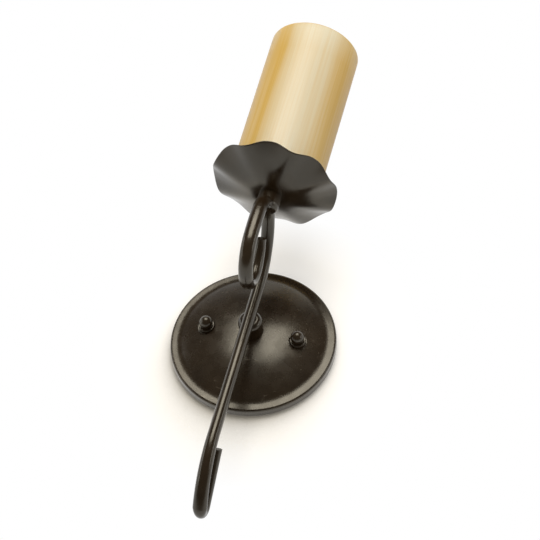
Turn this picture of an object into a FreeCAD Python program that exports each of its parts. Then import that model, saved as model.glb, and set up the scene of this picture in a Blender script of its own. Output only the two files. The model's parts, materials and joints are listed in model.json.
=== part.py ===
"""Torch sconce: round backplate, hub, scrolled arm, fluted dish and glass cylinder.

Millimetres. The wall is the plane Y = 0 and the lamp stands out from it along -Y. +Z is up and
+X is to the right as seen from the front. The origin is on the wall, at the hub's axis.
"""
import FreeCAD
import Part
import math
import os

from FreeCAD import Vector

# ---------------------------------------------------------------------------------------------
# Driving dimensions
# ---------------------------------------------------------------------------------------------

# clearances
thread_gap = 0.05          # radial, between a thread and its hole
turn_gap = 0.05            # radial, running fit of a piece that turns or slides
face_gap = 0.1             # between flat faces of pieces that move on each other
bore_gap = 0.4             # radial, around a piece that passes through loosely

# backplate: a pressed steel canopy
plate_radius = 63.5
plate_side = 6.6           # height of the side wall
plate_sheet = 1.0
plate_rim = 7.0            # width of the flat ring inside the side wall
plate_edge_round = 1.6
dome_height = 20.3         # of the full sphere cap, from the wall
nut_spacing = 71.6         # between the two cap nuts
land_height = 15.0         # of the flat that each cap nut sits on, from the wall
land_margin = 0.5

# hub and knuckle: two turned bosses
hub_radius = 9.25
hub_front = 36.0           # distance of its front from the wall
hub_round = 4.5
knuckle_radius = 8.75
knuckle_drop = 3.5         # how far it reaches below the arm's centre line
knuckle_height = 12.7
knuckle_round = 4.0

# arm: one tube, flattened where it is bent and drawn down at both ends
rod_radius = 4.6
rod_bore = 3.1             # radius of the wire way
stem_out = 38.0            # distance of the stem's centre line from the wall
stem_up = 23.0             # straight length above the hub
stem_down = 104.4          # straight length below the hub
reach_bend = 47.0          # radius from the stem to the knuckle
brow_bend = 20.6           # radius over the front of the scroll
brow_turn = 84.0
front_bend = 118.0         # radius of the nearly straight front
front_turn = 12.0
chin_bend = 24.6           # radius under the front of the scroll
chin_turn = 84.0
inner_bend = 20.3
inner_turn = 104.4
eye_bend = 31.7
eye_turn = 39.9
tail_bend = 61.3
tail_turn = 52.3
hook_bend = 6.0
fold_turn = 50.0           # part of the hook's turn in which the tube narrows
hook_turn = 150.4
return_bend = 112.0
return_turn = 21.9
tail_drift = 3.5           # how far the lower tip leans out of the arm's plane
drift_power = 4            # more keeps the lean nearer to the tip
taper_turn = 16.0          # most degrees of bend between two sections
taper_length = 12.0        # most length between them

# the arm's oval sections: half width across it, half depth in the plane of its bends
apex_half_width = 5.3      # over the knuckle's axis
apex_half_depth = 4.3
bend_half_width = 5.5      # round the scroll's front and into the tail
bend_half_depth = 4.2
fold_half_width = 4.4      # in the hook's fold
fold_half_depth = 4.1
curl_half_width = 4.4      # where the scroll turns in
curl_half_depth = 3.9
eye_half_width = 3.7       # at both ends
eye_half_depth = 3.4

# threaded lamp pipe
pipe_radius = 4.8
pipe_bore = 3.3
hub_pipe_back = 10.5       # distance of its open end from the wall
hub_pipe_depth = 10.0      # how far it enters the hub
knuckle_pipe_depth = 4.4
hex_flats = 14.0
hex_height = 3.6
washer_radius = 8.0
washer_sheet = 1.2

# fluted dish
dish_radius = 48.3
dish_sheet = 1.0
dish_rise = 12.5           # from its flat centre to the middle of its wavy edge
dish_flat = 10.5           # radius of the flat centre
dish_flutes = 8
flute_points = 8           # points that draw one flute of the wavy edge
dish_rings = 6             # wavy lines from the flat centre to the edge
flute_depth = 2.1          # half of the edge's wave
flare_power = 1.5          # 1 is a straight cone, more is a deeper bowl

# shade seat, a pressed pan
seat_well = 9.6            # inner radius of its well
seat_step = 15.5           # inner radius of the step that clears the lampholder
seat_step_rise = 3.2       # from the well's floor to the step
seat_bend = 1.0            # inner radius of its bends
seat_radius = 30.5
seat_sheet = 1.2
seat_lift = 8.0            # from the well's underside to the ledge's top
gasket_sheet = 1.2
gasket_inner = 20.0
gasket_outer = 29.5

# glass cylinder
shade_radius = 34.8
shade_wall = 3.0
shade_floor = 4.0
shade_height = 134.4
shade_hole = 15.0          # radius of the fitter hole
shade_round = 1.4
shade_foot_round = 3.5

# shade ring
ring_radius = 20.5
ring_height = 5.0
ring_grips = 24
ring_grip_radius = 1.3
ring_round = 0.8

# lampholder, candelabra size
holder_radius = 13.5
holder_cap_height = 10.0
holder_height = 30.0       # of the body above the cap
holder_wall = 2.0
holder_web = 3.0
holder_foot_round = 1.0
holder_mouth_round = 0.6
cap_pipe_length = 4.5      # of the pipe's thread inside the cap
shell_sheet = 0.4
shell_radius = 6.35        # inner
shell_length = 18.0
contact_radius = 2.6
contact_height = 1.2
terminal_radius = 2.2
terminal_head = 1.5
terminal_length = 4.5

# lamp
lamp_cap_radius = 5.9
lamp_cap_length = 16.0
lamp_glass_radius = 12.7
lamp_glass_height = 66.0   # from its neck to the start of its dome
lamp_glass_wall = 0.8
lamp_neck = 8.0
lamp_shoulder = 10.0
lamp_crown = 0.98          # share of the bulb's radius that its round end takes
lamp_contact_radius = 2.2
lamp_contact_height = 0.9
lamp_insulator_height = 1.8
lamp_cap_sheet = 0.5
filament_wire = 0.35
filament_height = 42.0
filament_spread = 4.0
glass_stem_radius = 2.4
glass_stem_height = 24.0

# wall bracket
box_strap_length = 104.0
box_strap_width = 20.0
strap_sheet = 1.5
box_strap_raise = 1.3      # how far its middle stands off the wall
box_strap_pad = 18.0       # half length of the raised middle
box_strap_ramp = 4.0
box_slot_spacing = 79.4    # between the slots' centres: takes screws 70 to 89 mm apart
box_slot_length = 14.1
box_slot_width = 4.6
fixture_strap_length = 92.0
fixture_strap_width = 18.0
eyelet_radius = 5.0
eyelet_bore = 4.0
eyelet_flange = 7.4
eyelet_sheet = 0.7
stud_radius = 2.0
stud_nut_flats = 7.0
stud_nut_height = 3.2
stud_reach = 19.5          # distance of its front end from the wall
ground_offset = 21.0
ground_head_radius = 4.0
ground_head_height = 2.6

# cap nut
nut_collar_radius = 6.2
nut_collar_height = 2.2
nut_neck_radius = 4.4
nut_ball_radius = 5.2
nut_ball_out = 20.6        # distance of the ball's centre from the wall
nut_bore_depth = 5.6

# lead
lead_radius = 1.3
lead_bend = 4.0            # where it turns inside the arm

# ---------------------------------------------------------------------------------------------
# Worked out from the sizes above
# ---------------------------------------------------------------------------------------------

X, Y, Z = Vector(1, 0, 0), Vector(0, 1, 0), Vector(0, 0, 1)
OUT = Vector(0, -1, 0)                                     # away from the wall
full_turn = 360.0
half_turn = full_turn / 2
quarter_turn = full_turn / 4
hex_sides = 6
same_point = 1e-6          # points nearer than this are one

dish_out = stem_out + reach_bend                           # distance of the shade's axis from the wall
apex = stem_up + reach_bend                                # height of the arm's centre line there

dome_base = plate_radius - plate_rim
dome_rise = dome_height - plate_side
dome_sphere = (dome_base ** 2 + dome_rise ** 2) / (2 * dome_rise)

knuckle_bottom = apex - knuckle_drop
dish_under = knuckle_bottom + knuckle_height
seat_under = dish_under + dish_sheet
seat_floor = seat_under + seat_sheet
seat_top = seat_under + seat_lift
shade_bottom = seat_top + gasket_sheet + face_gap
shade_top = shade_bottom + shade_height
ring_bottom = shade_bottom + shade_floor + face_gap
upper_nut_top = seat_floor + hex_height
holder_bottom = upper_nut_top
holder_joint = holder_bottom + holder_cap_height
holder_top = holder_joint + holder_height
web_top = holder_joint + holder_web
contact_top = web_top + contact_height
lamp_bottom = contact_top + face_gap
lamp_cap_bottom = lamp_bottom + lamp_contact_height + lamp_insulator_height
lamp_cap_top = lamp_cap_bottom + lamp_cap_length
pipe_end = holder_bottom + cap_pipe_length

stem_section = (rod_radius, rod_radius)                    # half width and half depth of each section
apex_section = (apex_half_width, apex_half_depth)
bend_section = (bend_half_width, bend_half_depth)
fold_section = (fold_half_width, fold_half_depth)
curl_section = (curl_half_width, curl_half_depth)
eye_section = (eye_half_width, eye_half_depth)

pad_back = box_strap_raise
pad_front = box_strap_raise + strap_sheet
fixture_back = pad_front + face_gap
fixture_front = fixture_back + strap_sheet


def dome(radius, sphere=dome_sphere, height=dome_height):
    """Distance from the wall of the dome's sphere at a radius from the hub's axis."""
    return height - sphere + math.sqrt(sphere ** 2 - radius ** 2)


crown = dome(hub_radius)                                   # the dome is pressed flat under the hub


# ---------------------------------------------------------------------------------------------
# Shaping helpers
# ---------------------------------------------------------------------------------------------

def outline(corners):
    """Closed face in the XZ plane from (x, z) or (x, z, radius) corners, rounded where stated."""
    count = len(corners)
    starts, ends, edges = [], [], []
    for i, corner in enumerate(corners):
        here = Vector(corner[0], 0, corner[1])
        radius = corner[2] if len(corner) > 2 else 0.0
        if not radius:
            starts.append(here)
            ends.append(here)
            continue
        before, after = corners[i - 1], corners[(i + 1) % count]
        to_before = (Vector(before[0], 0, before[1]) - here).normalize()
        to_after = (Vector(after[0], 0, after[1]) - here).normalize()
        half = to_before.getAngle(to_after) / 2
        setback = radius / math.tan(half)
        middle = (to_before + to_after).normalize() * (radius / math.sin(half) - radius)
        starts.append(here + to_before * setback)
        ends.append(here + to_after * setback)
        edges.append(Part.Arc(starts[i], here + middle, ends[i]).toShape())
    for i in range(count):
        start, end = ends[i], starts[(i + 1) % count]
        if start.distanceToPoint(end) > same_point:
            edges.append(Part.makeLine(start, end))
    return Part.Face(Part.Wire(Part.__sortEdges__(edges)))


def turned(corners, base=Vector(), outwards=False):
    """Solid of revolution of (radius, height) corners about +Z, or about the way out of the wall."""
    solid = outline(corners).revolve(Vector(), Z, full_turn)
    if outwards:
        solid.rotate(Vector(), X, quarter_turn)
    solid.translate(base)
    return solid


def rod(radius, start, end, base=Vector(), outwards=False):
    """Cylinder from one height to another along +Z or along the way out of the wall."""
    axis = OUT if outwards else Z
    return Part.makeCylinder(radius, end - start, base + axis * start, axis)


def pipe(outer, inner, start, end, base=Vector(), outwards=False):
    """Tube between two heights."""
    return rod(outer, start, end, base, outwards).cut(rod(inner, start, end, base, outwards))


def hex_nut(flats, hole, start, height, base=Vector(), outwards=False):
    """Hexagon nut with a round hole and corners chamfered by a cone."""
    corner = flats / math.sqrt(3)
    points = []
    for i in range(hex_sides + 1):
        angle = 2 * math.pi * i / hex_sides
        points.append(Vector(corner * math.cos(angle), corner * math.sin(angle), 0))
    points[-1] = points[0]
    prism = Part.Face(Part.makePolygon(points)).extrude(Z * height)
    chamfer = (corner - flats / 2) / 2
    trim = turned([(0, 0), (corner - chamfer, 0), (corner, chamfer), (corner, height - chamfer),
                   (corner - chamfer, height), (0, height)])
    nut = prism.common(trim).cut(rod(hole, 0, height))
    nut.translate(Z * start)
    if outwards:
        nut.rotate(Vector(), X, quarter_turn)
    nut.translate(base)
    return nut


def strap(length, width, thickness, along_x):
    """Flat bar with round ends, its back on the wall plane."""
    half = length / 2 - width / 2
    body = Part.makeBox(2 * half, thickness, width, Vector(-half, -thickness, -width / 2))
    for end in (-half, half):
        body = body.fuse(Part.makeCylinder(width / 2, thickness, Vector(end, 0, 0), OUT))
    body = body.removeSplitter()
    if not along_x:
        body.rotate(Vector(), Y, quarter_turn)
    return body


def fused(*solids):
    """One solid from overlapping or touching ones."""
    return solids[0].multiFuse(list(solids[1:])).removeSplitter()


def on_wall(out, height=0.0, across=0.0):
    """Point at a distance from the wall."""
    return Vector(across, -out, height)


lamp_axis = on_wall(dish_out)                              # foot of the shade's axis
nut_places = {"left": on_wall(0, across=-nut_spacing / 2), "right": on_wall(0, across=nut_spacing / 2)}


# ---------------------------------------------------------------------------------------------
# Wall bracket
# ---------------------------------------------------------------------------------------------

def box_strap():
    """Strap that screws to the junction box, with its middle raised to clear the eyelet's flange."""
    half = box_strap_length / 2
    ramp = box_strap_pad + box_strap_ramp
    back = [(0, -half), (0, -ramp), (pad_back, -box_strap_pad),
            (pad_back, box_strap_pad), (0, ramp), (0, half)]
    side = [on_wall(out, z) for out, z in back]
    side += [on_wall(out + strap_sheet, z) for out, z in reversed(back)]
    bar = Part.Face(Part.makePolygon(side + side[:1])).extrude(X * box_strap_width)
    bar.translate(X * (-box_strap_width / 2))
    plan = strap(box_strap_length, box_strap_width, pad_front, along_x=False)
    bar = bar.common(plan)
    bar = bar.cut(rod(eyelet_radius + thread_gap, 0, pad_front, outwards=True))
    for end in (-1, 1):
        slot = strap(box_slot_length, box_slot_width, pad_front, along_x=False)
        slot.translate(Z * (end * box_slot_spacing / 2))
        bar = bar.cut(slot)
    return bar


def swivel_eyelet():
    """Hollow rivet that joins the two straps and lets the wires through."""
    back = pad_back - eyelet_sheet
    front = fixture_front + face_gap
    return turned([(eyelet_bore, back), (eyelet_flange, back), (eyelet_flange, pad_back),
                   (eyelet_radius, pad_back), (eyelet_radius, front), (eyelet_flange, front),
                   (eyelet_flange, front + eyelet_sheet), (eyelet_bore, front + eyelet_sheet)],
                  outwards=True)


def fixture_strap():
    """Strap that carries the two studs and turns on the eyelet."""
    bar = strap(fixture_strap_length, fixture_strap_width, strap_sheet, along_x=True)
    bar.translate(OUT * fixture_back)
    bar = bar.cut(rod(eyelet_radius + turn_gap, fixture_back, fixture_front, outwards=True))
    for place in nut_places.values():
        bar = bar.cut(rod(stud_radius + thread_gap, fixture_back, fixture_front, place, True))
    ground = on_wall(0, across=-ground_offset)
    return bar.cut(rod(stud_radius + thread_gap, fixture_back, fixture_front, ground, True))


def mounting_studs():
    """Two threaded studs, pointed by a chamfer at the front."""
    chamfer = stud_radius / 4
    profile = [(0, fixture_back), (stud_radius, fixture_back), (stud_radius, stud_reach - chamfer),
               (stud_radius - chamfer, stud_reach), (0, stud_reach)]
    return Part.makeCompound([turned(profile, place, True) for place in nut_places.values()])


def stud_lock_nuts():
    """Hexagon nuts that lock the studs in the strap."""
    return Part.makeCompound([hex_nut(stud_nut_flats, stud_radius + thread_gap, fixture_front,
                                      stud_nut_height, place, True) for place in nut_places.values()])


def ground_screw():
    """Slotted screw for the earth wire."""
    place = on_wall(0, across=-ground_offset)
    top = fixture_front + ground_head_height
    head_round = ground_head_height / 2
    screw = turned([(0, fixture_back), (stud_radius, fixture_back), (stud_radius, fixture_front),
                    (ground_head_radius, fixture_front), (ground_head_radius, top, head_round),
                    (0, top)], place, True)
    slot_width = ground_head_radius / 4
    slot_depth = ground_head_height / 2
    slot = Part.makeBox(2 * ground_head_radius, slot_depth, slot_width,
                        place + Vector(-ground_head_radius, -top, -slot_width / 2))
    return screw.cut(slot)


# ---------------------------------------------------------------------------------------------
# Backplate and its fasteners
# ---------------------------------------------------------------------------------------------

def dome_face(offset):
    """Profile of the filled canopy, moved inwards by an offset, as edges from the rim to the axis."""
    side = plate_radius - offset
    ring = plate_side - offset
    round_radius = plate_edge_round - offset / 2
    sphere = dome_sphere - offset
    height = dome_height - offset
    foot = math.sqrt(sphere ** 2 - (ring - height + sphere) ** 2)
    flat = crown - offset
    flat_radius = math.sqrt(sphere ** 2 - (flat - height + sphere) ** 2)
    middle = (foot + flat_radius) / 2
    points = {"side_foot": (side, 0), "side_top": (side, ring - round_radius),
              "edge": (side - round_radius, ring), "foot": (foot, ring), "flat": (flat_radius, flat),
              "axis": (0, flat), "centre": (0, 0)}
    at = {name: Vector(r, 0, z) for name, (r, z) in points.items()}
    slant = round_radius * (1 - math.sqrt(0.5))
    edges = [Part.makeLine(at["side_foot"], at["side_top"]),
             Part.Arc(at["side_top"], Vector(side - slant, 0, ring - slant), at["edge"]).toShape(),
             Part.makeLine(at["edge"], at["foot"]),
             Part.Arc(at["foot"], Vector(middle, 0, dome(middle, sphere, height)), at["flat"]).toShape(),
             Part.makeLine(at["flat"], at["axis"]),
             Part.makeLine(at["axis"], at["centre"]),
             Part.makeLine(at["centre"], at["side_foot"])]
    return Part.Face(Part.Wire(edges))


def canopy(offset):
    """Filled canopy, moved inwards by an offset."""
    solid = dome_face(offset).revolve(Vector(), Z, full_turn)
    solid.rotate(Vector(), X, quarter_turn)
    return solid


def backplate():
    """Pressed canopy with a flat for each cap nut, and its three holes."""
    outside, inside = canopy(0), canopy(plate_sheet)
    shell = outside.cut(inside)
    land_radius = nut_collar_radius + land_margin
    boss_radius = land_radius + plate_sheet
    land_back = land_height - 2 * plate_sheet
    for place in nut_places.values():
        boss = rod(boss_radius, land_back, dome_height, place, True).common(outside)
        raised = rod(land_radius, land_back, land_height, place, True)
        shell = shell.multiFuse([boss, raised])
        shell = shell.cut(rod(land_radius, land_height, dome_height, place, True))
        shell = shell.cut(rod(stud_radius + bore_gap, 0, land_height, place, True))
    shell = shell.cut(rod(pipe_radius + bore_gap, 0, dome_height, outwards=True))
    return shell.removeSplitter()


def cap_nut(place):
    """Ball-shaped cap nut: collar, neck and ball turned in one, with a blind threaded hole."""
    base = land_height + face_gap
    collar_top = base + nut_collar_height
    neck = nut_ball_out - math.sqrt(nut_ball_radius ** 2 - nut_neck_radius ** 2)
    collar_round = nut_collar_height / 3
    body = turned([(0, base), (nut_collar_radius, base), (nut_collar_radius, collar_top, collar_round),
                   (nut_neck_radius, collar_top), (nut_neck_radius, neck + collar_round),
                   (0, neck + collar_round)], place, True)
    ball = Part.makeSphere(nut_ball_radius, place + OUT * nut_ball_out)
    ball = ball.cut(rod(nut_ball_radius, 0, collar_top, place, True))
    hole = rod(stud_radius + turn_gap, base, base + nut_bore_depth, place, True)
    return fused(body, ball).cut(hole)


# ---------------------------------------------------------------------------------------------
# Arm
# ---------------------------------------------------------------------------------------------

def heading_vector(heading):
    """Direction in the arm's plane at degrees from up, towards the front."""
    turn = math.radians(heading)
    return Vector(0, -math.sin(turn), math.cos(turn))


class Bender:
    """Walks along the arm's plane as a bending machine does, and keeps each run and bend."""

    def __init__(self, out, height, heading):
        self.place = Vector(0, -out, height)
        self.heading = heading                             # degrees from up, towards the front
        self.travel = 0.0
        self.edges = []
        self.legs = []                                     # stations of each bend

    def run(self, length):
        """Goes straight on."""
        end = self.place + heading_vector(self.heading) * length
        self.edges.append(Part.makeLine(self.place, end))
        self.place = end

    def bend(self, radius, turn):
        """Bends by a turn in degrees: forwards, or backwards where it is negative."""
        side = math.copysign(quarter_turn, turn)
        centre = self.place + heading_vector(self.heading + side) * radius
        length = radius * math.radians(abs(turn))
        steps = math.ceil(max(abs(turn) / taper_turn, length / taper_length))
        leg = []
        for i in range(steps + 1):
            heading = self.heading + turn * i / steps
            point = centre - heading_vector(heading + side) * radius
            leg.append((point, heading, self.travel + length * i / steps))
        half = centre - heading_vector(self.heading + turn / 2 + side) * radius
        self.edges.append(Part.Arc(self.place, half, point).toShape())
        self.legs.append(leg)
        self.place = point
        self.heading += turn
        self.travel += length


def swept(bender, radius):
    """Round bar along the bender's runs and bends."""
    start = bender.edges[0].firstVertex().Point
    section = Part.Wire(Part.makeCircle(radius, start, bender.edges[0].tangentAt(0)))
    return Part.Wire(bender.edges).makePipeShell([section], True, True)


def section_ring(point, heading, half_width, half_depth):
    """Closed line round the bar at a station: a circle, or an oval that is wider across."""
    if half_width == half_depth:
        circle = Part.Circle(point, heading_vector(heading), half_width)
        circle.XAxis = X
        return Part.Wire(circle.toShape())
    depth = heading_vector(heading + quarter_turn) * half_depth
    return Part.Wire(Part.Ellipse(point + X * half_width, point + depth, point).toShape())


def drawn(bender, sections, drift=0.0, grow=0.0):
    """Bars, one along each bend, that go from section to section and lean aside by a drift."""
    bars = []
    for leg, start, end in zip(bender.legs, sections, sections[1:]):
        rings = []
        for i, (point, heading, travel) in enumerate(leg):
            share = i / (len(leg) - 1)
            half_width = start[0] + (end[0] - start[0]) * share + grow
            half_depth = start[1] + (end[1] - start[1]) * share + grow
            aside = X * drift * (travel / bender.travel) ** drift_power
            rings.append(section_ring(point + aside, heading, half_width, half_depth))
        bars.append(Part.makeLoft(rings, True))
    return bars


def arm_stem(radius):
    """Straight part of the arm at a radius."""
    return rod(radius, -stem_down, stem_up, on_wall(stem_out))


def scroll_path():
    """Centre line from the top of the stem to the eye of the scroll."""
    path = Bender(stem_out, stem_up, 0)
    path.bend(reach_bend, quarter_turn)
    path.bend(brow_bend, brow_turn)
    path.bend(front_bend, front_turn)
    path.bend(chin_bend, chin_turn)
    path.bend(inner_bend, inner_turn)
    path.bend(eye_bend, eye_turn)
    return path


def hook_path():
    """Centre line from the foot of the stem to the lower tip."""
    path = Bender(stem_out, -stem_down, half_turn)
    path.bend(tail_bend, tail_turn)
    path.bend(hook_bend, fold_turn)
    path.bend(hook_bend, hook_turn - fold_turn)
    path.bend(return_bend, return_turn)
    return path


scroll_sections = [stem_section, apex_section, bend_section, bend_section, bend_section, curl_section,
                   eye_section]
hook_sections = [stem_section, bend_section, fold_section, fold_section, eye_section]


def scroll_arm():
    """Scrolled tube with a wire way from the hub to the knuckle."""
    bar = fused(arm_stem(rod_radius), *drawn(scroll_path(), scroll_sections),
                *drawn(hook_path(), hook_sections, tail_drift))
    way = Bender(stem_out, -rod_bore, 0)
    way.run(stem_up + rod_bore)
    way.bend(reach_bend, quarter_turn)
    way.run(rod_bore)
    bar = bar.cut(swept(way, rod_bore))
    bar = bar.cut(rod(rod_bore, stem_out - 2 * rod_radius, stem_out, outwards=True))
    return bar.cut(rod(rod_bore, apex, apex + 2 * rod_radius, lamp_axis))


def knuckle_saddle():
    """What the knuckle is hollowed by: the arm's reach and brow, a close fit larger."""
    return fused(*drawn(scroll_path(), scroll_sections[:3], grow=thread_gap))


def hub():
    """Turned boss between the backplate and the stem, hollowed to sit over the stem."""
    pipe_top = crown + hub_pipe_depth
    body = turned([(0, crown), (hub_radius, crown), (hub_radius, hub_front, hub_round), (0, hub_front)],
                  outwards=True)
    body = body.cut(arm_stem(rod_radius + thread_gap))
    body = body.cut(rod(pipe_radius + thread_gap, crown, pipe_top, outwards=True))
    return body.cut(rod(pipe_bore, pipe_top, stem_out, outwards=True))


def hub_pipe():
    """Threaded pipe that holds the hub to the backplate."""
    return pipe(pipe_radius, pipe_bore, hub_pipe_back, crown + hub_pipe_depth, outwards=True)


def hub_washer():
    """Washer under the hub's nut, inside the backplate."""
    inside = crown - plate_sheet
    return pipe(washer_radius, pipe_radius + thread_gap, inside - washer_sheet, inside, outwards=True)


def hub_nut():
    """Hexagon nut on the hub's pipe."""
    top = crown - plate_sheet - washer_sheet
    return hex_nut(hex_flats, pipe_radius + thread_gap, top - hex_height, hex_height, outwards=True)


def knuckle():
    """Turned boss on top of the arm, under the dish."""
    body = turned([(0, knuckle_bottom), (knuckle_radius, knuckle_bottom, knuckle_round),
                   (knuckle_radius, dish_under), (0, dish_under)], lamp_axis)
    body = body.cut(knuckle_saddle())
    thread_bottom = dish_under - knuckle_pipe_depth
    body = body.cut(rod(pipe_radius + thread_gap, thread_bottom, dish_under, lamp_axis))
    body = body.cut(rod(pipe_bore, apex, thread_bottom, lamp_axis))
    return max(body.Solids, key=lambda solid: solid.Volume)


# ---------------------------------------------------------------------------------------------
# Dish and shade seat
# ---------------------------------------------------------------------------------------------

def dish_ring(radius, level):
    """Closed wavy line at a radius: the flutes grow from the flat centre to the edge."""
    share = max(0.0, (radius - dish_flat) / (dish_radius - dish_flat))
    rise = dish_rise * share ** flare_power
    depth = flute_depth * share ** flare_power
    count = dish_flutes * flute_points
    points = []
    for i in range(count):
        angle = 2 * math.pi * i / count
        height = level + rise + depth * math.cos(dish_flutes * angle)
        points.append(lamp_axis + Vector(radius * math.cos(angle), radius * math.sin(angle), height))
    curve = Part.BSplineCurve()
    curve.interpolate(Points=points, PeriodicFlag=True)
    return Part.Wire(curve.toShape())


def fluted_dish():
    """Thin pressed saucer with eight soft flutes and a wavy edge."""
    spread = dish_radius - dish_flat
    radii = [dish_flat + spread * i / (dish_rings - 1) for i in range(dish_rings)]
    under = [dish_ring(radius, dish_under) for radius in radii]
    over = [dish_ring(radius, seat_under) for radius in radii]
    walls = [Part.makeLoft(under, False), Part.makeLoft(over, False),
             Part.makeRuledSurface(under[-1], over[-1])]
    faces = [face for wall in walls for face in wall.Faces]
    faces += [Part.Face(under[0]), Part.Face(over[0])]
    skin = Part.Shell(faces)
    skin.sewShape()
    dish = Part.Solid(skin)
    if dish.Volume < 0:
        dish.reverse()
    return dish.cut(rod(pipe_radius + bore_gap, dish_under, seat_under, lamp_axis))


def upper_pipe():
    """Threaded pipe from the knuckle to the lampholder."""
    return pipe(pipe_radius, pipe_bore, dish_under - knuckle_pipe_depth, pipe_end, lamp_axis)


def shade_seat():
    """Pressed pan: a well for the nut, a step that clears the lampholder, and a ledge for the glass."""
    hole = pipe_radius + bore_gap
    tight = seat_bend / 2
    bulge = 2 * seat_bend
    step_top = seat_floor + seat_step_rise
    step_under = step_top - seat_sheet
    ledge_under = seat_top - seat_sheet
    below = [(hole, seat_under), (seat_well + seat_sheet, seat_under, bulge),
             (seat_well + seat_sheet, step_under, tight), (seat_step + seat_sheet, step_under, bulge),
             (seat_step + seat_sheet, ledge_under, tight), (seat_radius, ledge_under)]
    above = [(seat_radius, seat_top), (seat_step, seat_top, bulge), (seat_step, step_top, seat_bend),
             (seat_well, step_top, bulge), (seat_well, seat_floor, seat_bend), (hole, seat_floor)]
    return turned(below + above, lamp_axis)


def seat_gasket():
    """Flat rubber ring under the glass."""
    return pipe(gasket_outer, gasket_inner, seat_top, seat_top + gasket_sheet, lamp_axis)


def upper_nut():
    """Hexagon nut that clamps the dish and the shade seat."""
    return hex_nut(hex_flats, pipe_radius + thread_gap, seat_floor, hex_height, lamp_axis)


# ---------------------------------------------------------------------------------------------
# Lampholder
# ---------------------------------------------------------------------------------------------

def holder_cap():
    """Lower half of the lampholder, screwed on the pipe and hollow for the terminals."""
    inner = holder_radius - holder_wall
    floor = holder_bottom + cap_pipe_length
    body = turned([(0, holder_bottom), (holder_radius, holder_bottom, holder_foot_round),
                   (holder_radius, holder_joint),
                   (inner, holder_joint), (inner, floor), (0, floor)], lamp_axis)
    return body.cut(rod(pipe_radius + thread_gap, holder_bottom, floor, lamp_axis))


def terminal_places():
    """Feet of the two terminal screws, left and right of the lampholder's axis."""
    offset = (shell_radius + holder_radius - holder_wall) / 2
    return [lamp_axis + X * offset * side for side in (-1, 1)]


def holder_body():
    """Upper half of the lampholder, with the thread for the shade ring outside."""
    bore = shell_radius + shell_sheet + thread_gap
    body = turned([(0, holder_joint), (holder_radius, holder_joint),
                   (holder_radius, holder_top, holder_mouth_round),
                   (bore, holder_top, holder_mouth_round), (bore, web_top), (0, web_top)], lamp_axis)
    body = body.cut(rod(lead_radius + thread_gap, holder_joint, web_top, lamp_axis))
    for place in terminal_places():
        thread = terminal_radius / 2 + thread_gap
        body = body.cut(rod(thread, holder_joint, holder_joint + terminal_length, place))
    return body


def screw_shell():
    """Brass shell that takes the lamp's cap."""
    outer = shell_radius + shell_sheet
    return pipe(outer, shell_radius, web_top, web_top + shell_length, lamp_axis)


def centre_contact():
    """Sprung contact at the bottom of the screw shell, riveted through the web."""
    return turned([(0, web_top), (contact_radius, web_top),
                   (contact_radius, contact_top, contact_height / 2), (0, contact_top)], lamp_axis)


def terminal_screws():
    """Two brass screws on the underside of the lampholder's body."""
    thread = terminal_radius / 2
    low = holder_joint - terminal_head
    profile = [(0, low), (terminal_radius, low), (terminal_radius, holder_joint), (thread, holder_joint),
               (thread, holder_joint + terminal_length), (0, holder_joint + terminal_length)]
    return Part.makeCompound([turned(profile, place) for place in terminal_places()])


def fixture_lead():
    """Twin lead from the lampholder through the arm and the hub to the junction box."""
    turn = math.degrees(math.acos(lead_bend / (lead_bend + reach_bend)))
    lead = Bender(0, 0, quarter_turn)
    lead.run(stem_out - lead_bend)
    lead.bend(lead_bend, -quarter_turn)
    lead.run(stem_up - lead_bend)
    lead.bend(reach_bend, turn)
    lead.bend(lead_bend, -turn)
    lead.run(web_top - lead.place.z)
    return swept(lead, lead_radius)


def shade_ring():
    """Ring nut that holds the glass down, with a gripped rim."""
    bore = holder_radius + turn_gap
    top = ring_bottom + ring_height
    body = turned([(bore, ring_bottom), (ring_radius, ring_bottom), (ring_radius, top, ring_round),
                   (bore, top)], lamp_axis)
    grips = []
    for i in range(ring_grips):
        angle = 2 * math.pi * i / ring_grips
        reach = ring_radius + ring_grip_radius / 2
        place = lamp_axis + Vector(reach * math.cos(angle), reach * math.sin(angle), 0)
        grips.append(rod(ring_grip_radius, ring_bottom, top, place))
    return body.cut(Part.makeCompound(grips))


def glass_shade():
    """Open glass cylinder with a floor and a fitter hole."""
    inner = shade_radius - shade_wall
    floor = shade_bottom + shade_floor
    return turned([(shade_hole, shade_bottom), (shade_radius, shade_bottom, shade_foot_round),
                   (shade_radius, shade_top, shade_round), (inner, shade_top, shade_round),
                   (inner, floor, shade_foot_round / 2), (shade_hole, floor)], lamp_axis)


# ---------------------------------------------------------------------------------------------
# Lamp
# ---------------------------------------------------------------------------------------------

def lamp_contact():
    """Solder bead at the lamp's foot."""
    top = lamp_bottom + lamp_contact_height
    return turned([(0, lamp_bottom), (lamp_contact_radius, lamp_bottom, lamp_contact_height / 2),
                   (lamp_contact_radius, top), (0, top)], lamp_axis)


def lamp_insulator():
    """Dark glass cone between the contact and the cap."""
    low = lamp_bottom + lamp_contact_height
    return turned([(0, low), (lamp_contact_radius, low), (lamp_cap_radius - lamp_cap_sheet, lamp_cap_bottom),
                   (0, lamp_cap_bottom)], lamp_axis)


def lamp_cap():
    """Brass screw cap of the lamp."""
    inner = lamp_cap_radius - lamp_cap_sheet
    floor = lamp_cap_bottom + lamp_cap_sheet
    return turned([(0, lamp_cap_bottom), (lamp_cap_radius, lamp_cap_bottom, lamp_cap_sheet),
                   (lamp_cap_radius, lamp_cap_top), (inner, lamp_cap_top), (inner, floor), (0, floor)],
                  lamp_axis)


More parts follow.
